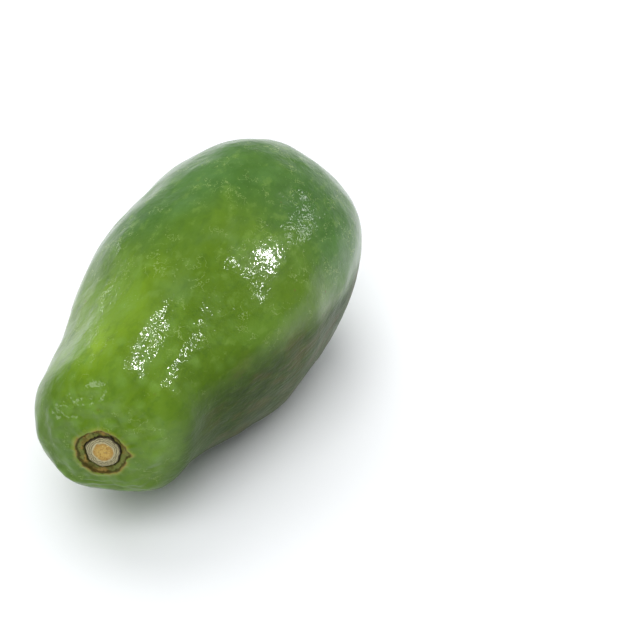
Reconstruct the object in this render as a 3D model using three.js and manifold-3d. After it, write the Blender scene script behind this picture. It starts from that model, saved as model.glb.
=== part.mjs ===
// Papaya: one whole unripe fruit lying on its side, with the dry stub of its stalk.
//
// Millimetres, +Z up. The fruit lies along Y with its stem end towards -Y. The origin is
// on the surface that the fruit rests on, in the middle of the fruit's bounding box.
// Stations are distances from the stem end along the fruit's own axis. Angles round the
// fruit are measured from its top (+Z) towards +X.

import * as THREE from 'three';
import { mergeVertices } from 'three/addons/utils/BufferGeometryUtils.js';
import Module from 'manifold-3d';

const wasm = await Module();
wasm.setup();

const { degToRad, smoothstep } = THREE.MathUtils;

// Outline of the fruit
const fruitLength = 250;
const neckDiameter = 82;
const neckStation = 10; // the neck starts to widen here
const bellyDiameter = 135;
const bellyStation = 134.5; // the belly has its full width from here on
const stemCapLength = 26; // the stem end rounds over in this length
const stemCapPower = 2.2; // 2 is an ellipse, more is blunter
const blossomCapLength = 85;
const blossomCapPower = 2.05;

// The neck leans off the axis of the belly, and the stem end faces askew
const neckLeanSide = 9.5;
const neckLeanUp = 3.4;
const neckLeanLength = 52;
const stemFaceTurn = degToRad(18); // towards +X
const stemFaceRaise = degToRad(9);
const stemFaceReach = 80; // past this station the rings stand square to the axis

// Five soft ridges run from end to end
const lobeCount = 5;
const lobeRise = 1.25;
const lobeSharpness = 0.2; // share of the second harmonic, which narrows the ridges
const topLobeAngle = degToRad(-2);
const lobeUnevenness = 0.25;
const strongLobeAngle = degToRad(70);

// Dimple at the blossom end
const dimpleDepth = 2.6;
const dimpleRadius = 7;

// Scar at the stem end, with the stub of the stalk in its middle
const scarDiameter = 26;
const scarRimDepth = 0.9; // from the edge of the skin down to the scar
const stubDiameter = 17.6;
const stubRoot = 2.6; // how far the stub reaches below the scar
const stubRise = 1.2; // how far it stands above the scar
const stubEdge = 0.6; // worn edge round the broken face
const stubCrown = 0.4; // the middle of the broken face stands this much higher
const stubClearance = 0.3;

// Rest
const restFlatDepth = 1.0; // the flat spot is this deep in the round of the belly
const undersideAngle = degToRad(178); // between the two lowest ridges

// Facets
const ringCount = 56;
const sectorCount = 60;
const scarSegments = 48;
const cutterMargin = 20; // how far a cutting solid reaches past what it cuts
const tangentStep = 2; // between the two points that give the underside's direction
const halvings = 40; // of the stretch of underside that the rest point is sought in

const skinMaterial = new THREE.MeshStandardMaterial({ color: 0x5b8a2b, roughness: 0.32, metalness: 0 });
const stubMaterial = new THREE.MeshStandardMaterial({ color: 0xb3a27c, roughness: 0.9, metalness: 0 });

// How full the rounding of an end is at a distance from its pole: 0 at the pole, 1 past the cap.
function capFullness(distance, capLength, power) {
  const toGo = Math.max(0, 1 - distance / capLength);
  return (1 - toGo ** power) ** (1 / power);
}

function endFullness(station) {
  const stem = capFullness(station, stemCapLength, stemCapPower);
  const blossom = capFullness(fruitLength - station, blossomCapLength, blossomCapPower);
  return stem * blossom;
}

function meanRadius(station) {
  const swell = smoothstep(station, neckStation, bellyStation);
  const diameter = neckDiameter + (bellyDiameter - neckDiameter) * swell;
  return (diameter / 2) * endFullness(station);
}

function lobeHeight(angle) {
  const phase = lobeCount * (angle - topLobeAngle);
  const wave = Math.cos(phase) + lobeSharpness * Math.cos(2 * phase);
  return lobeRise * wave * (1 + lobeUnevenness * Math.cos(angle - strongLobeAngle));
}

// Falls from 1 at the stem end to 0 at the given reach, where it meets the axis smoothly.
function stemShare(station, reach) {
  return Math.max(0, 1 - station / reach) ** 2;
}

function skinPoint(station, angle) {
  const radius = meanRadius(station) + lobeHeight(angle) * endFullness(station);
  const side = radius * Math.sin(angle);
  const up = radius * Math.cos(angle);
  const skew = side * Math.tan(stemFaceTurn) + up * Math.tan(stemFaceRaise);
  const lean = stemShare(station, neckLeanLength);
  const dimple = station > fruitLength / 2 ? dimpleDepth * Math.exp(-((radius / dimpleRadius) ** 2)) : 0;
  return new THREE.Vector3(
    neckLeanSide * lean + side,
    station + skew * stemShare(station, stemFaceReach) - dimple,
    neckLeanUp * lean + up,
  );
}

// Closed skin: rings of points between two poles, closer together towards the ends.
function fruitGeometry() {
  const points = [skinPoint(0, 0)];
  for (let ring = 1; ring < ringCount; ring++) {
    const station = (fruitLength / 2) * (1 - Math.cos((Math.PI * ring) / ringCount));
    for (let sector = 0; sector < sectorCount; sector++) {
      points.push(skinPoint(station, (2 * Math.PI * sector) / sectorCount));
    }
  }
  points.push(skinPoint(fruitLength, 0));

  const blossomPole = points.length - 1;
  const at = (ring, sector) => 1 + (ring - 1) * sectorCount + (sector % sectorCount);
  const triangles = [];
  for (let sector = 0; sector < sectorCount; sector++) {
    triangles.push(0, at(1, sector + 1), at(1, sector));
    for (let ring = 1; ring < ringCount - 1; ring++) {
      const near = at(ring, sector);
      const nearNext = at(ring, sector + 1);
      const far = at(ring + 1, sector);
      const farNext = at(ring + 1, sector + 1);
      triangles.push(near, farNext, far, near, nearNext, farNext);
    }
    triangles.push(at(ringCount - 1, sector), at(ringCount - 1, sector + 1), blossomPole);
  }
  const geometry = new THREE.BufferGeometry().setFromPoints(points);
  geometry.setIndex(triangles);
  return geometry;
}

// Round solid square to the stem end's face. Its profile gives radius and depth below the
// pole of the skin, from the axis out and back to the axis.
function stemEndTurning(profile) {
  const turned = new THREE.LatheGeometry(
    profile.map(([radius, depth]) => new THREE.Vector2(radius, depth)),
    scarSegments,
  );
  const inward = new THREE.Vector3(-Math.tan(stemFaceTurn), 1, -Math.tan(stemFaceRaise)).normalize();
  const turn = new THREE.Quaternion().setFromUnitVectors(new THREE.Vector3(0, 1, 0), inward);
  return turned.applyQuaternion(turn).translate(neckLeanSide, 0, neckLeanUp);
}

function solidFrom(geometry) {
  const bare = geometry.clone();
  bare.deleteAttribute('normal');
  bare.deleteAttribute('uv');
  const merged = mergeVertices(bare);
  const mesh = new wasm.Mesh({
    numProp: 3,
    vertProperties: new Float32Array(merged.attributes.position.array),
    triVerts: new Uint32Array(merged.index.array),
  });
  return new wasm.Manifold(mesh);
}

function geometryFrom(solid) {
  const mesh = solid.getMesh();
  const geometry = new THREE.BufferGeometry();
  geometry.setAttribute('position', new THREE.BufferAttribute(mesh.vertProperties, 3));
  geometry.setIndex(new THREE.BufferAttribute(mesh.triVerts, 1));
  geometry.computeVertexNormals();
  return geometry;
}

// Depths of the stem end's details, counted from the edge of the skin round the scar
const scarRadius = scarDiameter / 2;
const scarShare = (scarDiameter / neckDiameter) ** stemCapPower;
const skinEdgeDepth = stemCapLength * (1 - (1 - scarShare) ** (1 / stemCapPower));
const scarDepth = skinEdgeDepth + scarRimDepth;
const stubRootDepth = scarDepth + stubRoot;
const stubFaceDepth = scarDepth - stubRise;
const socketRadius = stubDiameter / 2 + stubClearance;
const outside = -cutterMargin;

const scarCutter = stemEndTurning([
  [0, outside],
  [scarRadius, outside],
  [scarRadius, scarDepth],
  [socketRadius, scarDepth],
  [socketRadius, stubRootDepth + stubClearance],
  [0, stubRootDepth + stubClearance],
]);

const stubBlank = stemEndTurning([
  [0, stubFaceDepth - stubCrown],
  [stubDiameter / 2 - stubEdge, stubFaceDepth],
  [stubDiameter / 2, stubFaceDepth + stubEdge],
  [stubDiameter / 2, stubRootDepth],
  [0, stubRootDepth],
]);

// Centre of the volume inside a closed mesh, from the tetrahedra between it and the origin.
function centreOfVolume(geometry) {
  const position = geometry.attributes.position;
  const index = geometry.index;
  const corners = [new THREE.Vector3(), new THREE.Vector3(), new THREE.Vector3()];
  const weighted = new THREE.Vector3();
  let total = 0;
  for (let first = 0; first < index.count; first += 3) {
    corners.forEach((corner, k) => corner.fromBufferAttribute(position, index.getX(first + k)));
    const [a, b, c] = corners;
    const volume = a.dot(new THREE.Vector3().crossVectors(b, c)) / 6;
    weighted.addScaledVector(a.clone().add(b).add(c), volume / 4);
    total += volume;
  }
  return weighted.divideScalar(total);
}

// The fruit settles with its centre straight above the point that it rests on. There the
// line from the underside to the centre stands square to the underside.
function restTilt(centre) {
  const underside = (station) => skinPoint(station, undersideAngle);
  const direction = (station) =>
    underside(station + tangentStep / 2).sub(underside(station - tangentStep / 2));
  const lead = (station) => {
    const toCentre = centre.clone().sub(underside(station));
    const along = direction(station);
    return toCentre.y * along.y + toCentre.z * along.z;
  };
  let low = neckStation;
  let high = fruitLength - blossomCapLength;
  for (let halving = 0; halving < halvings; halving++) {
    const middle = (low + high) / 2;
    if (lead(middle) > 0) {
      low = middle;
    } else {
      high = middle;
    }
  }
  const along = direction(low);
  return Math.atan2(-along.z, along.y);
}

// Lay the fruit down: the stem end droops, and the lowest round of the belly is below z = 0.
const skin = fruitGeometry();
const tilt = restTilt(centreOfVolume(skin));
for (const geometry of [skin, scarCutter, stubBlank]) {
  geometry.rotateX(tilt);
}
skin.computeBoundingBox();
const laid = skin.boundingBox;
const toOrigin = [
  -(laid.min.x + laid.max.x) / 2,
  -(laid.min.y + laid.max.y) / 2,
  -laid.min.z - restFlatDepth,
];
for (const geometry of [skin, scarCutter, stubBlank]) {
  geometry.translate(...toOrigin);
}

// Everything below the surface it rests on is cut away, which leaves the flat spot.
const underside = new THREE.BoxGeometry(
  bellyDiameter + cutterMargin,
  fruitLength + cutterMargin,
  cutterMargin,
).translate(0, 0, -cutterMargin / 2);

const fruitSolid = solidFrom(skin).subtract(solidFrom(scarCutter)).subtract(solidFrom(underside));

const fruit = new THREE.Mesh(geometryFrom(fruitSolid), skinMaterial);
fruit.name = 'fruit';

const stemStub = new THREE.Mesh(geometryFrom(solidFrom(stubBlank)), stubMaterial);
stemStub.name = 'stem_stub';

const papaya = new THREE.Group();
papaya.add(fruit, stemStub);

export default papaya;
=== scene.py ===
# Looks of the papaya: one whole unripe fruit on a pale floor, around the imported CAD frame.
#
# The fruit and its stalk stub are sculpted in millimetres in the fruit's own coordinates:
# a station is a distance from the stem end along the axis, and an angle is measured round
# the axis from the top (+Z) towards +X. The meshes are made in metres, in the CAD's frame.

import math

import bpy
import numpy as np
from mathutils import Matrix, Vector


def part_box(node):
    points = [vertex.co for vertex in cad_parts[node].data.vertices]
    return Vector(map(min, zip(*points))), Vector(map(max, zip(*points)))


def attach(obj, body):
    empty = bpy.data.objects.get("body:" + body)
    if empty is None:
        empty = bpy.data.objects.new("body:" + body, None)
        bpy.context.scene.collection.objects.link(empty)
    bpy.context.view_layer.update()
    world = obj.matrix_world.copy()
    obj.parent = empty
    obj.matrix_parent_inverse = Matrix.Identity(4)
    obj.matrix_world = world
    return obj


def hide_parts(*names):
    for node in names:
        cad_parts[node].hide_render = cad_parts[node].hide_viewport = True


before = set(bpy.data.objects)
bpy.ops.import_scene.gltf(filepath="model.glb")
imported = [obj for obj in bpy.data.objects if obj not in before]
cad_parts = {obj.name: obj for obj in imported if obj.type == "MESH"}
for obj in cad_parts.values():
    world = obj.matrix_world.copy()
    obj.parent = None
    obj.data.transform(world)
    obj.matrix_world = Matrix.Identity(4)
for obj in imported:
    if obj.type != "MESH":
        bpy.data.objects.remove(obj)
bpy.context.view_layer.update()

MM = 0.001

# Outline of the fruit, as in the CAD
FRUIT_LENGTH = 250.0
NECK_DIAMETER = 82.0
NECK_STATION = 10.0
BELLY_DIAMETER = 135.0
BELLY_STATION = 134.5
STEM_CAP_LENGTH = 26.0
STEM_CAP_POWER = 2.2
BLOSSOM_CAP_LENGTH = 85.0
BLOSSOM_CAP_POWER = 2.05
NECK_LEAN_SIDE = 9.5
NECK_LEAN_UP = 3.4
NECK_LEAN_LENGTH = 52.0
STEM_FACE_TURN = math.radians(18)
STEM_FACE_RAISE = math.radians(9)
STEM_FACE_REACH = 80.0
LOBE_COUNT = 5
LOBE_RISE = 1.25
LOBE_SHARPNESS = 0.2
TOP_LOBE_ANGLE = math.radians(-2)
LOBE_UNEVENNESS = 0.25
STRONG_LOBE_ANGLE = math.radians(70)
DIMPLE_DEPTH = 2.6
DIMPLE_RADIUS = 7.0
REST_TILT = math.radians(2.777)  # the CAD works this out from the shape

# Scar and stub at the stem end. The depths are below the pole of the skin.
SCAR_RADIUS = 12.8
SCAR_DEPTH = 0.95
SCAR_WALL = 0.75  # width over which the torn edge drops to the scar's floor
SCAR_SIZE = 0.955  # mean radius of the torn edge, as a share of SCAR_RADIUS
SCAR_OFF_CENTRE = (-0.078, -0.066)  # the torn edge's shift to the side (+X) and up, likewise
SCAR_OUTLINE_FADE = (SCAR_RADIUS * 1.05, SCAR_RADIUS * 2.0)  # the neck is round past these
TEAR_ANGLE = math.radians(97)
STUB_RADIUS = 8.9
STUB_FACE_DEPTH = 0.7
STUB_SHIFT = (-0.1, -0.2)  # of the stub from the pole, to the side (+X) and up
SOCKET_DEPTH = 4.4
SOCKET_GAP = 0.1  # from the stub to the socket's wall
SOCKET_WALL = 0.45  # width over which the scar's floor drops into the socket

# The stub's side, from its worn edge to its foot: shares of its radius, and depths below
# its broken face
STUB_SIDE_SHARE = (0.975, 0.993, 1.0, 1.0, 1.0, 0.99, 0.96, 0.9, 0.6, 0.3)
STUB_SIDE_DEPTH = (0.10, 0.32, 0.65, 1.5, 2.6, 3.2, 3.4, 3.4, 3.4, 3.4)
WOOD_RING_WIDTH = 0.95
WOOD_RINGS_START = (4.6, 5.6)  # the grooves between the rings of wood set in over these radii
CORE_EDGE = (4.0, 5.6)  # and the raised core ends over these

# What the skin shows beyond the CAD's outline: rise in millimetres, angle and width in
# degrees, and station and length in millimetres
FEATURES = {
    "fuller left side of the neck": (1.9, -95, 45, 12, 18),
    "saddle between the neck's ridges and the belly": (-1.8, 30, 26, 69, 21),
    "valley left of the top ridge": (-1.5, -39, 15, 55, 38),
    "left ridge of the neck": (2.0, 9, 12, 43, 25),
    "right ridge of the neck": (1.8, 42, 12, 43, 25),
    "dent between the two ridges, beside the scar": (-1.3, 26, 11, 21, 13),
}
# The ridge above the shady right flank is crisper than the others: stations, its angles in
# degrees there, and how far it stands out further
FLANK_EDGE = ((0, 30, 100, 160, 250), (70, 65, 74, 88, 96))
FLANK_CREASE = 0.7
# Puckered skin round the scar
PUCKER_LUMPS = 17
PUCKER_FOLDS = 9

# Mesh density
SECTORS = 288
SCAR_RING_STEP = 0.35
BODY_RING_STEP = 1.35
TIP_RING_STEP = 0.45
SCAR_RINGS_END = (24, 44)  # along the skin from the stem pole, where the rings spread out
TIP_RINGS_START = (26, 10)  # along the skin from the tip, where they close up again
STUB_SECTORS = 180
STUB_FACE_RINGS = 36
MEASURED_RINGS = 300  # of the smooth skin, for its box
MEASURED_SECTORS = 360
ARC_SAMPLES = 4001  # for distances along the skin

# Values that stand for "far from here" in the numbers that the skin's material reads
FAR = 1e3
FAR_FROM_SCAR = 9
FAR_FROM_STUB = 12
FAR_FROM_TIP = 60

# Floor and camera
FLOOR_SIZE = 12.0
CAMERA_AZIMUTH = 24.8
CAMERA_ELEVATION = 37.0
CAMERA_FIELD = 24.0  # degrees across the picture
CAMERA_SENSOR = 36.0
CAMERA_DISTANCE = 0.8787
CAMERA_RIGHT = 0.0652  # the camera aims beside the fruit, which stands left of the middle
CAMERA_UP = 0.0463

# Soft daylight from round parts of the sky: azimuth, elevation, spread and strength
SKY_LAMPS = {
    "left_light": (-128, 50, 50, 1.35),
    "back_light": (140, 58, 60, 0.9),
    "front_light": (8, 60, 50, 1.9),
}
# Highlights in the gloss: azimuth, elevation, width, height and power
GLOSS_LAMPS = {
    "window": (131, 41, 0.055, 0.07, 3.6),
    "window_side": (115, 46, 0.07, 0.05, 0.8),
    "window_back": (147, 27, 0.07, 0.07, 0.2),
    "window_high": (114, 57, 0.08, 0.06, 1.4),
    "window_front": (-28, 27, 0.5, 0.22, 2.2),
    "low_left": (-111, 10, 0.04, 0.04, 0.07),
}
SKY_LAMP_DISTANCE = 2
GLOSS_LAMP_DISTANCE = 1.3
GLOSS_LAMP_TARGET = 0.08  # height of the point that the gloss lamps face
SKY_COLOUR = (0.93, 0.96, 1.0, 1.0)
SKY_STRENGTH = (0.85, 0.28)  # at the horizon, where it meets the floor, and overhead
SKY_FADE_TOP = 0.3  # the sky has its overhead strength above this, as the sine of its elevation


# ---------------------------------------------------------------- smooth random shapes

def waves(points, wavelength, seed, count=28):
    """Smooth random height of about unit spread, with bumps near the given wavelength."""
    rng = np.random.default_rng(seed)
    direction = rng.normal(size=(count, 3))
    direction /= np.linalg.norm(direction, axis=1, keepdims=True)
    number = 2 * math.pi / (wavelength * rng.uniform(0.75, 1.35, size=count))
    phase = rng.uniform(0, 2 * math.pi, size=count)
    total = np.zeros(points.shape[:-1])
    for k in range(count):
        total += np.cos(points @ (direction[k] * number[k]) + phase[k])
    return total * math.sqrt(2 / count)


def ring_waves(angle, harmonics, seed):
    """Smooth random height round a circle; harmonics gives {waves round the circle: size}."""
    rng = np.random.default_rng(seed)
    total = np.zeros_like(angle)
    for number, size in harmonics.items():
        total += size * np.cos(number * angle + rng.uniform(0, 2 * math.pi))
    return total


def smooth(value, low, high):
    """0 below low, 1 above high, and smooth between them."""
    share = np.clip((value - low) / (high - low), 0, 1)
    return share * share * (3 - 2 * share)


def bell(value, width):
    return np.exp(-((value / width) ** 2))


def angle_from(angle, centre):
    """Signed angle from centre, between -pi and pi."""
    return (angle - centre + math.pi) % (2 * math.pi) - math.pi


# ---------------------------------------------------------------- the fruit's base shape

def cap_fullness(distance, length, power):
    to_go = np.clip(1 - distance / length, 0, 1)
    return np.maximum(0, 1 - to_go ** power) ** (1 / power)


def end_fullness(station):
    stem = cap_fullness(station, STEM_CAP_LENGTH, STEM_CAP_POWER)
    blossom = cap_fullness(FRUIT_LENGTH - station, BLOSSOM_CAP_LENGTH, BLOSSOM_CAP_POWER)
    return stem * blossom


def mean_radius(station):
    swell = smooth(station, NECK_STATION, BELLY_STATION)
    diameter = NECK_DIAMETER + (BELLY_DIAMETER - NECK_DIAMETER) * swell
    return diameter / 2 * end_fullness(station)


def lobe_wave(angle):
    phase = LOBE_COUNT * (angle - TOP_LOBE_ANGLE)
    return np.cos(phase) + LOBE_SHARPNESS * np.cos(2 * phase)


def lobe_height(angle):
    uneven = 1 + LOBE_UNEVENNESS * np.cos(angle - STRONG_LOBE_ANGLE)
    return LOBE_RISE * lobe_wave(angle) * uneven


def stem_share(station, reach):
    return np.clip(1 - station / reach, 0, 1) ** 2


def skin_points(station, angle, stretch=1.0):
    """Points of the smooth skin; stretch scales the radius, for the scar's uneven outline."""
    radius = mean_radius(station) + lobe_height(angle) * end_fullness(station)
    radius = radius * stretch
    side = radius * np.sin(angle)
    up = radius * np.cos(angle)
    skew = side * math.tan(STEM_FACE_TURN) + up * math.tan(STEM_FACE_RAISE)
    lean = stem_share(station, NECK_LEAN_LENGTH)
    dimple = np.where(station > FRUIT_LENGTH / 2, DIMPLE_DEPTH * bell(radius, DIMPLE_RADIUS), 0)
    x = NECK_LEAN_SIDE * lean + side
    y = station + skew * stem_share(station, STEM_FACE_REACH) - dimple
    z = NECK_LEAN_UP * lean + up
    return np.stack([x, y, z], axis=-1)


def even_turns(count):
    """Stations from end to end, closer together towards the ends."""
    return FRUIT_LENGTH / 2 * (1 - np.cos(np.linspace(0, math.pi, count)))


def laid_down(points):
    """Turns points about X, so that the stem end droops as the fruit lies."""
    cos, sin = math.cos(REST_TILT), math.sin(REST_TILT)
    x, y, z = points[..., 0], points[..., 1], points[..., 2]
    return np.stack([x, cos * y - sin * z, sin * y + cos * z], axis=-1)


def frame_shift():
    """Shift that takes the laid-down skin to where the CAD fruit lies."""
    station = even_turns(MEASURED_RINGS)
    angle = np.linspace(0, 2 * math.pi, MEASURED_SECTORS, endpoint=False)
    points = laid_down(skin_points(station[:, None], angle[None, :]))
    low = points.min(axis=(0, 1))
    high = points.max(axis=(0, 1))
    cad_low, cad_high = (np.array(corner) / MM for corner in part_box("fruit"))
    middle = (cad_low + cad_high) / 2 - (low + high) / 2
    return np.array([middle[0], middle[1], cad_high[2] - high[2]])


FRAME_SHIFT = frame_shift()

# The stem end's face: its pole, the direction into the fruit, and two directions across it
STEM_POLE = np.array([NECK_LEAN_SIDE, 0.0, NECK_LEAN_UP])
STEM_INWARD = np.array([-math.tan(STEM_FACE_TURN), 1, -math.tan(STEM_FACE_RAISE)])
STEM_INWARD /= np.linalg.norm(STEM_INWARD)
FACE_SIDE = np.cross(STEM_INWARD, [0, 0, 1])
FACE_SIDE /= np.linalg.norm(FACE_SIDE)
FACE_UP = np.cross(FACE_SIDE, STEM_INWARD)


def to_frame(points):
    return (laid_down(points) + FRAME_SHIFT) * MM


# ---------------------------------------------------------------- outlines at the stem end

def scar_outline(angle):
    """Radius of the scar's torn edge round the pole, as a share of SCAR_RADIUS."""
    even = ring_waves(angle, {2: 0.045, 3: 0.03, 5: 0.018}, seed=11)
    torn = ring_waves(angle, {7: 0.014, 9: 0.010, 14: 0.007, 23: 0.004}, seed=12)
    tear = 0.19 * bell(angle_from(angle, TEAR_ANGLE), math.radians(9))
    tear += 0.07 * bell(angle_from(angle, TEAR_ANGLE + 0.35), math.radians(14))
    off_centre = SCAR_OFF_CENTRE[0] * np.sin(angle) + SCAR_OFF_CENTRE[1] * np.cos(angle)
    return SCAR_SIZE + even + torn + tear + off_centre


def stub_outline(angle):
    """Radius of the stub round its own middle, as a share of STUB_RADIUS."""
    even = ring_waves(angle, {2: 0.03, 3: 0.035, 4: 0.022, 5: 0.015}, seed=21)
    chipped = ring_waves(angle, {7: 0.014, 11: 0.012, 19: 0.007}, seed=22)
    chipped += 0.09 * bell(angle_from(angle, math.radians(-122)), math.radians(9))
    chipped -= 0.08 * bell(angle_from(angle, math.radians(40)), math.radians(16))
    return 1 + even + chipped


def stub_distance(points):
    """Distance from the side of the stub, across the stem end's face; below 0 inside it."""
    side = (points - STEM_POLE) @ FACE_SIDE - STUB_SHIFT[0]
    up = (points - STEM_POLE) @ FACE_UP - STUB_SHIFT[1]
    return np.hypot(side, up) - STUB_RADIUS * stub_outline(np.arctan2(side, up))


# ---------------------------------------------------------------- closed meshes

def fine_normals(points):
    """Outward unit normals of a grid of points, rings by sectors."""
    along = np.gradient(points, axis=0)
    around = (np.roll(points, -1, axis=1) - np.roll(points, 1, axis=1)) / 2
    normal = np.cross(around, along)
    normal /= np.linalg.norm(normal, axis=2, keepdims=True)
    return normal


def closed_grid(name, rings, first_pole, last_pole):
    """Mesh of a closed skin from rings of points (rings x sectors x 3) and two poles."""
    count, sectors = rings.shape[:2]
    vertices = np.concatenate([[first_pole], rings.reshape(-1, 3), [last_pole]])
    ring = np.arange(count - 1)[:, None] * sectors + 1
    sector = np.arange(sectors)[None, :]
    following = (sector + 1) % sectors
    quads = np.stack([ring + sector, ring + following,
                      ring + sectors + following, ring + sectors + sector], axis=-1)
    last = len(vertices) - 1
    base = last - sectors
    faces = quads.reshape(-1, 4).tolist()
    faces += [[0, 1 + (k + 1) % sectors, 1 + k] for k in range(sectors)]
    faces += [[last, base + k, base + (k + 1) % sectors] for k in range(sectors)]
    mesh = bpy.data.meshes.new(name)
    mesh.from_pydata(vertices.tolist(), [], faces)
    mesh.polygons.foreach_set("use_smooth", [True] * len(mesh.polygons))
    mesh.update()
    piece = bpy.data.objects.new(name, mesh)
    bpy.context.scene.collection.objects.link(piece)
    return piece


def store(piece, name, rings, first=0, last=0):
    """Keeps one number for each vertex, for the material to read."""
    layer = piece.data.attributes.new(name, "FLOAT", "POINT")
    values = np.concatenate([[first], rings.reshape(-1), [last]]).astype(np.float32)
    layer.data.foreach_set("value", values)


# ---------------------------------------------------------------- the fruit's surface

def ring_stations():
    """Stations of the rings: close together at the scar and the tip, wider on the body."""
    station = even_turns(ARC_SAMPLES)
    radius = mean_radius(station)
    arc = np.concatenate([[0], np.cumsum(np.hypot(np.diff(station), np.diff(radius)))])
    near_scar = 1 - smooth(arc, *SCAR_RINGS_END)
    near_tip = smooth(arc, arc[-1] - TIP_RINGS_START[0], arc[-1] - TIP_RINGS_START[1])
    step = BODY_RING_STEP + (SCAR_RING_STEP - BODY_RING_STEP) * near_scar
    step += (TIP_RING_STEP - BODY_RING_STEP) * near_tip
    turns = np.concatenate([[0], np.cumsum(np.diff(arc) / ((step[1:] + step[:-1]) / 2))])
    rings = int(turns[-1])
    return np.interp(np.linspace(0, turns[-1], rings + 1)[1:-1], turns, station)


def body_relief(points, station, angle, from_stem):
    """How far the skin stands out from the CAD's smooth shape, apart from its two ends."""
    # Broad unevenness of the whole fruit, then softer small dents
    away = smooth(from_stem, 14, 40)
    broad = 0.55 * waves(points * [1, 0.6, 1], 85, seed=51) + 0.30 * waves(points, 38, seed=52)
    small = 0.085 * waves(points * [1, 0.7, 1], 15, seed=53) + 0.03 * waves(points, 7, seed=54)
    relief = away * broad
    relief += away * small
    edge = np.interp(station, *FLANK_EDGE)
    crease = bell(angle_from(angle, np.radians(edge - 3)), math.radians(11))
    relief += FLANK_CREASE * crease * smooth(station, 45, 110) * (1 - smooth(station, 190, 240))
    for rise, at_angle, width, at_station, length in FEATURES.values():
        across = bell(angle_from(angle, math.radians(at_angle)), math.radians(width))
        relief += rise * across * bell(station - at_station, length)
    return relief


def scar_relief(reach, angle, points):
    """How far the skin stands out (or in, below 0) near the scar. reach is the distance
    from the pole as a share of the torn edge's own radius."""
    distance = reach * SCAR_RADIUS
    wall = smooth(distance, SCAR_RADIUS - SCAR_WALL, SCAR_RADIUS + 0.1)
    lip = 0.35 * bell(distance - (SCAR_RADIUS + 0.9), 0.9)
    band = -SCAR_DEPTH + 0.22 * waves(points, 3.4, seed=31) + 0.10 * waves(points, 1.5, seed=32)
    ridge = ring_waves(angle, {2: 0.5, 3: 0.6, 5: 0.4}, seed=33)
    band += 0.30 * bell(distance - 11.4, 1.0) * ridge
    return (1 - wall) * band + wall * lip


def puckers(points, distance, angle):
    """Soft irregular lumps of skin in a ring round the scar."""
    rng = np.random.default_rng(41)
    height = np.zeros_like(distance)
    for _ in range(PUCKER_LUMPS):
        at_angle = rng.uniform(0, 2 * math.pi)
        at_distance = rng.uniform(17, 32)
        across = rng.uniform(2.2, 4.2)
        round_the_scar = rng.uniform(4.0, 9.0)
        rise = rng.uniform(0.6, 1.45) * rng.choice([-0.8, 1, 1])
        off = angle_from(angle, at_angle) * at_distance
        slant = rng.uniform(-0.35, 0.35) * off
        height += rise * bell(distance - at_distance - slant, across) * bell(off, round_the_scar)
    # Narrow folds that curve round the scar, and fine creases that run out from its edge
    for _ in range(PUCKER_FOLDS):
        at_angle = rng.uniform(0, 2 * math.pi)
        at_distance = rng.uniform(18, 31)
        off = angle_from(angle, at_angle) * at_distance
        slant = rng.uniform(-0.3, 0.3) * off
        fold = bell(distance - at_distance - slant, rng.uniform(1.2, 1.9))
        height -= rng.uniform(0.4, 0.8) * fold * bell(off, rng.uniform(5, 11))
    ring = bell(distance - 21, 9)
    height += ring * (0.34 * waves(points, 11, seed=42) + 0.14 * waves(points, 5.5, seed=43))
    creases = ring_waves(angle, {17: 0.5, 22: 0.5, 31: 0.4}, seed=44)
    height += 0.20 * creases * bell(distance - 15.5, 3)
    return height


def tip_relief(from_tip, angle):
    """Dry star-shaped point in the dimple of the blossom end."""
    star = 0.45 * bell(from_tip - 4.2, 1.6) * (0.5 + 0.5 * np.cos(LOBE_COUNT * angle))
    knob = 0.9 * bell(from_tip, 1.9)
    between = 0.5 - 0.5 * np.cos(LOBE_COUNT * (angle - TOP_LOBE_ANGLE))
    furrow = -0.35 * bell(from_tip - 9, 5) * between
    return (star + knob + furrow) * (from_tip < 40)


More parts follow.
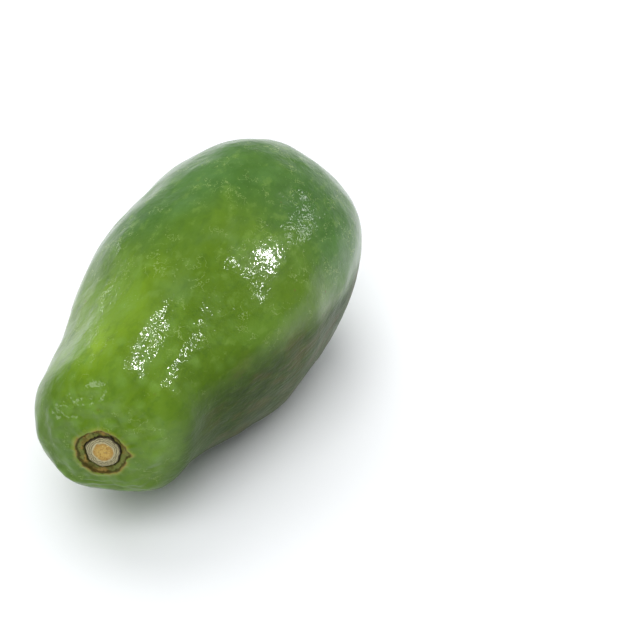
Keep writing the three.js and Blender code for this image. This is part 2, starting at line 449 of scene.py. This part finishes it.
def store_fruit_masks(piece, station, angle, from_stem, from_tip, from_stub):
    """Keeps what the skin's material reads: places, the strength of each tint there, and where
    shade is painted.
    """
    def patch(strength, at_station, length, at_angle, width):
        """Soft patch of tint: at_angle is in degrees, and width in radians."""
        across = bell(angle_from(angle, math.radians(at_angle)), width)
        return strength * bell(station - at_station, length) * across

    stem_half = station < FRUIT_LENGTH / 2
    gap = np.clip(from_stub, -3, FAR_FROM_STUB) * stem_half + FAR_FROM_STUB * ~stem_half
    store(piece, "station", station / FRUIT_LENGTH, last=1)
    store(piece, "scar", np.where(stem_half, from_stem / SCAR_RADIUS, FAR_FROM_SCAR),
          last=FAR_FROM_SCAR)
    store(piece, "tip", np.minimum(from_tip, FAR_FROM_TIP), first=FAR_FROM_TIP)
    store(piece, "lobe", lobe_wave(angle))
    store(piece, "gap", gap, last=FAR_FROM_STUB)

    # Paler and yellower patches, and painted shade: a deeper green on the left of the neck
    store(piece, "pale", patch(1.0, 64, 17, -11, 0.24) + patch(0.8, 7, 6, -10, 0.35))
    glow = patch(1.2, 50, 36, -20, 0.6) + patch(0.35, 125, 45, 35, 0.75)
    glow = glow + patch(1.1, 34, 12, -15, 0.16)
    glow = glow + patch(0.4, 12, 28, 30, 1.1)
    store(piece, "glow", glow)
    # Painted shade on the left of the neck, beside the scar
    store(piece, "painted_shade_by_scar", patch(1.0, 10, 22, -100, 0.9))

    # The left side and the far end are cooler
    off_top = -angle_from(angle, 0)
    left = smooth(off_top, -0.4, 0.4) * (1 - smooth(off_top, 2.2, 3.0))
    cool = left * smooth(station, 60, 130) + smooth(station, 105, 180)
    store(piece, "cool", np.minimum(cool, 1), last=1)

    # Painted shade: the flank below the right ridge is darkened in colour, as it lies in shade
    past_edge = angle_from(angle, np.radians(np.interp(station, *FLANK_EDGE)))
    blend = np.interp(station, (40, 110), (0.40, 0.15))
    painted_flank_shade = smooth(past_edge / blend, -1, 1) * (1 - smooth(past_edge, 1.3, 2.0))
    painted_flank_shade = painted_flank_shade * smooth(station, 2, 24) * (1 - smooth(station, 195, 240))
    store(piece, "painted_flank_shade", painted_flank_shade)


def make_fruit():
    station = ring_stations()[:, None]
    angle = np.linspace(0, 2 * math.pi, SECTORS, endpoint=False)[None, :]
    radius = mean_radius(station)
    stem_half = station < FRUIT_LENGTH / 2
    hold = np.where(stem_half, 1 - smooth(radius, *SCAR_OUTLINE_FADE), 0)
    base = skin_points(station, angle, 1 + (scar_outline(angle) - 1) * hold)
    normal = fine_normals(base)
    shape = base.shape[:2]
    station = np.broadcast_to(station, shape)
    angle = np.broadcast_to(angle, shape)
    from_stem = np.broadcast_to(np.where(stem_half, radius, FAR), shape)
    from_tip = np.broadcast_to(np.where(stem_half, FAR, radius), shape)

    relief = body_relief(base, station, angle, from_stem)
    relief += np.where(stem_half, puckers(base, from_stem, angle), 0)
    points = base + normal * relief[..., None]
    in_scar = np.where(stem_half, scar_relief(from_stem / SCAR_RADIUS, angle, base), 0)
    points = points - STEM_INWARD * in_scar[..., None]

    # Socket: the scar's floor drops away round the stub
    from_stub = stub_distance(points)
    fall = 1 - smooth(from_stub, SOCKET_GAP, SOCKET_GAP + SOCKET_WALL)
    pit = np.where(from_stem < SCAR_RADIUS, fall, 0)
    depth = (points - STEM_POLE) @ STEM_INWARD
    points = points + STEM_INWARD * (pit * (SOCKET_DEPTH - depth))[..., None]
    points = points + normal * tip_relief(from_tip, angle)[..., None]

    placed = to_frame(points)
    placed[..., 2] = np.maximum(placed[..., 2], 0)  # the flat spot that it rests on
    stem_pole = points[0].mean(axis=0)
    tip_pole = points[-1].mean(axis=0)
    piece = closed_grid("fruit_skin", placed, to_frame(stem_pole), to_frame(tip_pole))
    store_fruit_masks(piece, station, angle, from_stem, from_tip, from_stub)
    return piece


# ---------------------------------------------------------------- the stub of the stalk

def make_stub():
    angle = np.linspace(0, 2 * math.pi, STUB_SECTORS, endpoint=False)[None, :]
    face = np.linspace(0.03, 0.95, STUB_FACE_RINGS)
    share = np.concatenate([face, STUB_SIDE_SHARE])[:, None]
    drop = np.concatenate([np.zeros_like(face), STUB_SIDE_DEPTH])[:, None]
    on_face = (np.arange(len(share)) < len(face))[:, None]
    radius = STUB_RADIUS * share * (1 + (stub_outline(angle) - 1) * share)
    flat = np.stack([radius * np.sin(angle), radius * np.cos(angle), 0 * radius], axis=-1)

    # Broken face: rings of wood round a raised, grainy core
    wobble = 0.45 * ring_waves(angle, {2: 0.5, 3: 0.4, 5: 0.4}, seed=61) * share
    wobble = wobble + 0.22 * waves(flat, 3.0, seed=67)
    rings_out = (radius + wobble) / WOOD_RING_WIDTH
    grooves = 0.11 * np.cos(2 * math.pi * rings_out) * smooth(radius, *WOOD_RINGS_START)
    core = 0.35 * (1 - smooth(radius + 0.3 * waves(flat, 4, seed=62), *CORE_EDGE))
    grain = 0.09 * waves(flat, 1.6, seed=63) + 0.05 * waves(flat, 0.8, seed=64)
    crown = 0.25 * (1 - share ** 2) + 0.20 * waves(flat, 7.0, seed=65)
    relief = np.where(on_face, grooves + core + grain + crown, 0)
    relief = relief * (1 - smooth(share, 0.88, 0.975) * on_face)

    depth = STUB_FACE_DEPTH + drop - relief
    middle = STEM_POLE + FACE_SIDE * STUB_SHIFT[0] + FACE_UP * STUB_SHIFT[1]
    points = (middle + FACE_SIDE * (radius * np.sin(angle))[..., None]
              + FACE_UP * (radius * np.cos(angle))[..., None]
              + STEM_INWARD * depth[..., None])
    face_pole = points[0].mean(axis=0)
    foot_pole = points[-1].mean(axis=0)
    piece = closed_grid("stalk_stub", to_frame(points), to_frame(face_pole), to_frame(foot_pole))
    side = np.where(on_face, smooth(share, 0.93, 1.0), 1)
    store(piece, "radius", radius)
    store(piece, "rings", rings_out)
    store(piece, "side", np.broadcast_to(side, radius.shape), last=1)
    return piece


# ---------------------------------------------------------------- materials

def srgb(red, green, blue):
    """A colour given in the usual 0 to 255 numbers, as the linear colour shaders take."""
    def linear(value):
        share = value / 255
        return share / 12.92 if share <= 0.04045 else ((share + 0.055) / 1.055) ** 2.4
    return (linear(red), linear(green), linear(blue), 1.0)


class Shade:
    """A material's node tree, with short calls that each add one node and return its result."""

    def __init__(self, name):
        self.material = bpy.data.materials.new(name)
        self.material.use_nodes = True
        self.tree = self.material.node_tree
        self.shader = self.tree.nodes["Principled BSDF"]
        self.place = self.add("ShaderNodeTexCoord").outputs["Object"]

    def add(self, kind, inputs=None, **settings):
        node = self.tree.nodes.new(kind)
        for key, value in settings.items():
            setattr(node, key, value)
        for key, value in (inputs or {}).items():
            self.give(node.inputs[key], value)
        return node

    def give(self, socket, value):
        if isinstance(value, bpy.types.NodeSocket):
            self.tree.links.new(value, socket)
        else:
            socket.default_value = value

    def set(self, **inputs):
        for name, value in inputs.items():
            self.give(self.shader.inputs[name.replace("_", " ")], value)

    def read(self, name):
        """A number that store() kept on the mesh."""
        return self.add("ShaderNodeAttribute", attribute_name=name).outputs["Fac"]

    def noise(self, size, seed, detail=3.0, roughness=0.5, stretch=(1, 1, 1)):
        """Smooth random value round 0.5, with blotches of about this size in millimetres."""
        spread = [1 / (part * size * MM) for part in stretch]
        scaled = self.add("ShaderNodeMapping", {"Vector": self.place, "Scale": spread})
        texture = self.add("ShaderNodeTexNoise", {
            "Vector": scaled.outputs["Vector"], "W": float(seed), "Scale": 1.0,
            "Detail": detail, "Roughness": roughness}, noise_dimensions="4D")
        return texture.outputs["Fac"]

    def spots(self, size, seed):
        """Distance from the middle of scattered cells of about this size in millimetres."""
        scaled = self.add("ShaderNodeMapping", {
            "Vector": self.place, "Scale": [1 / (size * MM)] * 3, "Location": [seed, 0, 0]})
        texture = self.add("ShaderNodeTexVoronoi", {
            "Vector": scaled.outputs["Vector"], "Scale": 1.0, "Randomness": 1.0})
        return texture.outputs["Distance"]

    def span(self, value, low, high, to_low=0.0, to_high=1.0):
        """to_low below low, to_high above high, and smooth between them."""
        node = self.add("ShaderNodeMapRange", {
            "Value": value, "From Min": low, "From Max": high,
            "To Min": to_low, "To Max": to_high}, interpolation_type="SMOOTHSTEP", clamp=True)
        return node.outputs["Result"]

    def math(self, operation, first, second=0.0):
        node = self.add("ShaderNodeMath", {0: first, 1: second}, operation=operation)
        return node.outputs["Value"]

    def times(self, *values):
        product = values[0]
        for value in values[1:]:
            product = self.math("MULTIPLY", product, value)
        return product

    def plus(self, *values):
        total = values[0]
        for value in values[1:]:
            total = self.math("ADD", total, value)
        return total

    def wandering(self, value, noise, reach):
        """The value, moved up and down by noise, over this reach in all."""
        return self.plus(value, self.times(self.plus(noise, -0.5), reach))

    def mix(self, first, second, factor):
        node = self.add("ShaderNodeMix", data_type="RGBA")
        self.give(node.inputs["Factor"], factor)
        self.give(node.inputs[6], first)
        self.give(node.inputs[7], second)
        return node.outputs[2]

    def bump(self, height, depth):
        """Surface bump: depth is in millimetres for a change of height of 1."""
        inputs = {"Height": height, "Strength": 1.0, "Distance": depth * MM}
        return self.add("ShaderNodeBump", inputs).outputs["Normal"]


def ground_colour(s, patch):
    """Mottled olive green, bluer on the left and far end, yellower on the neck."""
    glow, cool, station = s.read("glow"), s.read("cool"), s.read("station")
    blotch = s.noise(48, seed=1, detail=2, stretch=(1, 1.5, 1))
    cool_here = s.span(s.wandering(cool, blotch, 1.2), 0.0, 1.0)
    colour = s.mix(srgb(82, 114, 8), srgb(64, 104, 36), cool_here)
    warm = s.span(s.wandering(glow, patch, 1.2), 0.1, 1.1)
    colour = s.mix(colour, srgb(113, 146, 20), s.times(warm, 0.75))
    colour = s.mix(colour, srgb(140, 172, 40), s.span(glow, 1.0, 2.2, 0.0, 0.9))

    # Soft paler patches under the surface, then finer mottling and streaks along the fruit
    cloud = s.noise(26, seed=7, detail=3, roughness=0.5, stretch=(1, 1.6, 1))
    cloud = s.plus(cloud, s.times(s.read("pale"), 0.24))
    hazy = s.mix(srgb(102, 137, 40), srgb(84, 123, 60), cool_here)
    colour = s.mix(colour, hazy, s.span(cloud, 0.50, 0.62, 0.0, 0.5))
    mottle = s.noise(6.5, seed=3, detail=4, roughness=0.6, stretch=(1, 1.4, 1))
    colour = s.mix(colour, srgb(50, 84, 12), s.span(mottle, 0.50, 0.32, 0.0, 0.26))
    colour = s.mix(colour, srgb(115, 148, 60), s.span(mottle, 0.53, 0.70, 0.0, 0.4))
    streak = s.noise(4.0, seed=4, detail=3, roughness=0.6, stretch=(1, 7, 1))
    colour = s.mix(colour, srgb(52, 86, 16), s.span(streak, 0.47, 0.32, 0.0, 0.2))

    # Soft round cells, clearest on the neck
    on_neck = s.span(station, 0.45, 0.15, 0.25, 1.0)
    cell = s.times(s.span(s.spots(9, seed=7), 0.5, 0.1), on_neck)
    return s.mix(colour, srgb(116, 154, 66), s.times(cell, 0.32))


def with_marks(s, colour, line):
    """Pale flecks, short thin lines where the skin has healed, and a few brown spots."""
    crowd = s.noise(11, seed=5, detail=1)
    fleck = s.span(s.spots(1.9, seed=3), s.span(crowd, 0.45, 0.7, 0.04, 0.26), 0.0)
    colour = s.mix(colour, srgb(146, 170, 98), s.times(fleck, 0.6))
    colour = s.mix(colour, srgb(140, 164, 90), s.times(line, 0.6))
    spot = s.times(s.span(s.spots(12, seed=5), 0.09, 0.04), s.span(crowd, 0.5, 0.6))
    return s.mix(colour, srgb(97, 90, 35), s.times(spot, 0.6))


def with_painted_flank_shade(s, colour, scratch):
    """Painted shade: dark greyish green under the right ridge, where the flank lies in shade,
    with russet streaks along the fruit.
    """
    station = s.read("station")
    painted_shade = s.mix(srgb(36, 52, 4), srgb(48, 63, 14), s.span(station, 0.25, 0.5))
    russet = s.noise(8, seed=16, detail=4, roughness=0.6, stretch=(1, 3.5, 1))
    painted_shade = s.mix(painted_shade, srgb(76, 62, 30), s.span(russet, 0.47, 0.62, 0.0, 0.6))
    painted_shade = s.mix(painted_shade, srgb(26, 44, 4), s.span(russet, 0.46, 0.34, 0.0, 0.6))
    painted_shade = s.mix(srgb(48, 72, 6), painted_shade, s.span(station, 0.06, 0.3))
    cover = s.span(scratch, 0.40, 0.70, 0.92, 0.74)
    # Painted shade laid over the skin's own colour on the flank
    return s.mix(colour, painted_shade, s.times(s.read("painted_flank_shade"), cover))


def with_scar(s, colour, ragged):
    """Torn brown edge at the stem end, corky band, and painted shade down in the gap round the
    stub.
    """
    scar, gap = s.read("scar"), s.read("gap")
    edge = s.wandering(scar, ragged, 0.16)
    halo_patch = s.noise(7, seed=12, detail=2)
    halo = s.times(s.span(edge, 1.24, 1.03), s.span(halo_patch, 0.34, 0.6, 0.35, 1.0))
    colour = s.mix(colour, srgb(146, 150, 62), s.times(halo, 0.65))
    rim = s.times(s.span(edge, 1.10, 1.02), s.span(halo_patch, 0.42, 0.58))
    colour = s.mix(colour, srgb(124, 92, 40), s.times(rim, 0.75))

    tan = s.span(s.noise(5, seed=13, detail=3), 0.38, 0.62)
    green = s.span(s.noise(7, seed=14, detail=2), 0.44, 0.58, 0.0, 0.85)
    pits = s.span(s.noise(1.3, seed=15, detail=2), 0.44, 0.30, 0.0, 0.7)
    cork = s.mix(srgb(92, 88, 42), srgb(140, 116, 60), tan)
    cork = s.mix(cork, srgb(104, 116, 60), green)
    cork = s.mix(cork, srgb(44, 34, 14), pits)
    colour = s.mix(colour, cork, s.span(scar, 1.01, 0.985))
    crack = s.times(s.span(edge, 1.03, 0.99), s.span(edge, 0.90, 0.95))
    colour = s.mix(colour, srgb(62, 54, 18), s.times(crack, 0.75))
    # Painted shade: darker olive near the stub, and near black down in the gap round it
    colour = s.mix(colour, srgb(66, 64, 26), s.span(gap, 1.3, 0.4))
    return s.mix(colour, srgb(42, 38, 14), s.span(gap, 0.5, 0.1))


def with_tip(s, colour, tip):
    """Dry point at the blossom end."""
    colour = s.mix(colour, srgb(150, 150, 74), s.span(tip, 11, 5, 0.0, 0.55))
    colour = s.mix(colour, srgb(92, 68, 34), s.span(tip, 6.2, 4.2, 0.0, 0.95))
    return s.mix(colour, srgb(48, 36, 20), s.span(tip, 3.4, 2.2))


def skin_bump(s, scratch, line):
    """Pebbled skin, coarser on the neck, scratched on the flank and sunk at healed lines."""
    neck = s.span(s.read("station"), 0.36, 0.18)
    ripple = s.times(s.noise(4.4, seed=22, detail=1), 0.16)
    pebble = s.times(s.noise(2.1, seed=21, detail=1), s.plus(0.13, s.times(neck, 0.12)))
    grain = s.times(s.noise(1.0, seed=23, detail=1), s.plus(0.045, s.times(neck, -0.025)))
    height = s.plus(ripple, pebble, grain, s.times(scratch, s.read("painted_flank_shade"), 0.5))
    return s.bump(s.plus(height, s.times(line, -0.02)), 1.0)


def skin_material():
    s = Shade("papaya_skin")
    # Patterns that more than one layer uses
    patch = s.noise(17, seed=2, detail=4, roughness=0.55, stretch=(1, 1.3, 1))
    wander = s.noise(8, seed=8, detail=3, roughness=0.65)
    line = s.span(s.math("ABSOLUTE", s.plus(wander, -0.5)), 0.012, 0.003)
    line = s.times(line, s.span(s.noise(14, seed=9, detail=2), 0.50, 0.60))
    bloom_patch = s.noise(24, seed=6, detail=5, roughness=0.6, stretch=(1, 1.8, 1))
    in_valleys = s.span(s.read("lobe"), 0.9, -0.8, 0.35, 1.0)
    bloom = s.times(s.span(bloom_patch, 0.50, 0.68), in_valleys)
    scratch = s.noise(2.2, seed=10, detail=3, roughness=0.6, stretch=(1, 9, 1))
    ragged = s.noise(2.6, seed=11, detail=3, roughness=0.6)
    tip = s.plus(s.read("tip"), s.times(ragged, 2.0))

    colour = ground_colour(s, patch)
    colour = with_marks(s, colour, line)
    # Painted shade: deeper green left of the scar. Then a thin waxy bloom, mostly in the valleys
    colour = s.mix(colour, srgb(52, 84, 2), s.times(s.read("painted_shade_by_scar"), 0.3))
    colour = s.mix(colour, srgb(108, 139, 84), s.times(bloom, 0.34))
    # Painted shade on the flank below the right ridge
    colour = with_painted_flank_shade(s, colour, scratch)
    colour = with_scar(s, colour, ragged)
    colour = with_tip(s, colour, tip)

    # Waxy gloss, duller under the bloom, on the flank, at the stem end and where it is dry
    dry = s.math("MAXIMUM", s.span(s.read("scar"), 1.03, 0.98), s.span(tip, 6.5, 4.5))
    fresh = s.math("SUBTRACT", 1.0, dry)
    gloss = s.plus(s.span(patch, 0.35, 0.65, 0.34, 0.46), s.times(bloom, 0.08))
    roughness = s.plus(s.times(gloss, fresh), s.times(dry, 0.85))
    off_flank = s.span(s.read("painted_flank_shade"), 0.0, 1.0, 1.0, 0.1)
    off_stem = s.span(s.read("station"), 0.01, 0.13, 0.7, 1.0)
    coat = s.times(s.span(bloom, 0.2, 0.9, 0.65, 0.4), fresh, off_flank, off_stem)
    normal = skin_bump(s, scratch, line)
    s.set(Base_Color=colour, Roughness=roughness, Coat_Weight=coat, Coat_Roughness=0.09,
          Coat_IOR=1.5, IOR=1.38, Specular_IOR_Level=0.16,
          Normal=normal, Coat_Normal=normal,
          Subsurface_Weight=0.12, Subsurface_Radius=(0.004, 0.006, 0.0015), Subsurface_Scale=1.0)
    return s.material


def stub_material():
    """Rings of grey wood round a lumpy tan pith, dark on the side."""
    s = Shade("papaya_stalk")
    radius, rings, side = s.read("radius"), s.read("rings"), s.read("side")
    wave = s.math("COSINE", s.times(rings, 2 * math.pi))
    fibre = s.noise(0.9, seed=31, detail=3, roughness=0.6)
    blotch = s.noise(3.2, seed=32, detail=3, roughness=0.6)
    wood = s.mix(srgb(112, 106, 76), srgb(168, 161, 124), s.span(wave, -0.8, 0.6))
    wood = s.mix(wood, srgb(92, 84, 54), s.span(fibre, 0.46, 0.32, 0.0, 0.7))
    lump = s.noise(1.7, seed=33, detail=3, roughness=0.6)
    pith = s.mix(srgb(184, 154, 78), srgb(134, 94, 40), s.span(lump, 0.52, 0.66))
    pith = s.mix(pith, srgb(152, 114, 56), s.span(radius, 2.2, 4.6, 0.0, 0.6))
    pith = s.mix(pith, srgb(206, 184, 112), s.span(fibre, 0.53, 0.68, 0.0, 0.8))
    from_middle = s.wandering(radius, blotch, 1.6)
    colour = s.mix(pith, wood, s.span(from_middle, 4.7, 5.7))
    ring_line = s.times(s.span(from_middle, 4.9, 5.4), s.span(from_middle, 6.2, 5.6))
    colour = s.mix(colour, srgb(188, 180, 142), s.times(ring_line, 0.6))
    colour = s.mix(colour, srgb(52, 42, 24), s.times(side, s.span(fibre, 0.3, 0.6, 0.7, 1.0)))
    normal = s.bump(fibre, 0.25)
    s.set(Base_Color=colour, Roughness=s.span(fibre, 0.3, 0.7, 0.92, 0.74), Normal=normal)
    return s.material


def floor_material():
    s = Shade("pale_floor")
    tone = s.noise(400, seed=41, detail=1)
    s.set(Base_Color=s.mix(srgb(238, 240, 242), srgb(244, 245, 246), tone), Roughness=0.6)
    return s.material


# ---------------------------------------------------------------- floor, light and camera

def direction(azimuth, elevation):
    """From the fruit towards a viewer or lamp. Azimuth 0 stands at the stem end, 90 at +X."""
    a, e = math.radians(azimuth), math.radians(elevation)
    return Vector((math.sin(a) * math.cos(e), -math.cos(a) * math.cos(e), math.sin(e)))


def aimed(name, data, target, away):
    """A lamp or camera that stands this far away from a target and faces it."""
    holder = bpy.data.objects.new(name, data)
    holder.location = target + away
    holder.rotation_euler = (-away).to_track_quat("-Z", "Y").to_euler()
    bpy.context.scene.collection.objects.link(holder)
    return holder


def make_floor():
    half = FLOOR_SIZE / 2
    mesh = bpy.data.meshes.new("floor")
    corners = [(-half, -half, 0), (half, -half, 0), (half, half, 0), (-half, half, 0)]
    mesh.from_pydata(corners, [], [(0, 1, 2, 3)])
    floor = bpy.data.objects.new("floor", mesh)
    bpy.context.scene.collection.objects.link(floor)
    mesh.materials.append(floor_material())


def make_world():
    world = bpy.data.worlds.new("studio")
    world.use_nodes = True
    tree = world.node_tree
    sky = tree.nodes["Background"]
    sky.inputs["Color"].default_value = SKY_COLOUR
    place = tree.nodes.new("ShaderNodeTexCoord")
    split = tree.nodes.new("ShaderNodeSeparateXYZ")
    fade = tree.nodes.new("ShaderNodeMapRange")
    fade.interpolation_type = "SMOOTHSTEP"
    fade.inputs["From Min"].default_value = 0.0
    fade.inputs["From Max"].default_value = SKY_FADE_TOP
    fade.inputs["To Min"].default_value, fade.inputs["To Max"].default_value = SKY_STRENGTH
    tree.links.new(place.outputs["Generated"], split.inputs["Vector"])
    tree.links.new(split.outputs["Z"], fade.inputs["Value"])
    tree.links.new(fade.outputs["Result"], sky.inputs["Strength"])
    bpy.context.scene.world = world


def sky_lamp(name, azimuth, elevation, spread, strength):
    """Broad soft light from a round part of the sky; it shows no outline in the gloss."""
    lamp = bpy.data.lights.new(name, "SUN")
    lamp.angle = math.radians(spread)
    lamp.energy = strength
    away = direction(azimuth, elevation) * SKY_LAMP_DISTANCE
    holder = aimed(name, lamp, Vector((0, 0, 0)), away)
    holder.visible_glossy = False


def gloss_lamp(name, azimuth, elevation, width, height, power):
    """Small window-like lamp that only shows as a highlight in the gloss."""
    lamp = bpy.data.lights.new(name, "AREA")
    lamp.shape = "RECTANGLE"
    lamp.size = width
    lamp.size_y = height
    lamp.energy = power
    away = direction(azimuth, elevation) * GLOSS_LAMP_DISTANCE
    holder = aimed(name, lamp, Vector((0, 0, GLOSS_LAMP_TARGET)), away)
    holder.visible_diffuse = False


def make_camera():
    camera = bpy.data.cameras.new("camera")
    camera.sensor_width = CAMERA_SENSOR
    camera.lens = CAMERA_SENSOR / 2 / math.tan(math.radians(CAMERA_FIELD / 2))
    away = direction(CAMERA_AZIMUTH, CAMERA_ELEVATION)
    turn = math.radians(CAMERA_AZIMUTH)
    right = Vector((math.cos(turn), math.sin(turn), 0))
    target = right * CAMERA_RIGHT + away.cross(right) * CAMERA_UP
    bpy.context.scene.camera = aimed("camera", camera, target, away * CAMERA_DISTANCE)


fruit_skin = make_fruit()
stalk_stub = make_stub()
fruit_skin.data.materials.append(skin_material())
stalk_stub.data.materials.append(stub_material())
for piece, node, slot in ((fruit_skin, "fruit", "skin"), (stalk_stub, "stem_stub", "stalk")):
    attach(piece, "root")
    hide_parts(node)

make_floor()
make_world()
for name, values in SKY_LAMPS.items():
    sky_lamp(name, *values)
for name, values in GLOSS_LAMPS.items():
    gloss_lamp(name, *values)
make_camera()
bpy.context.scene.view_settings.view_transform = "Standard"
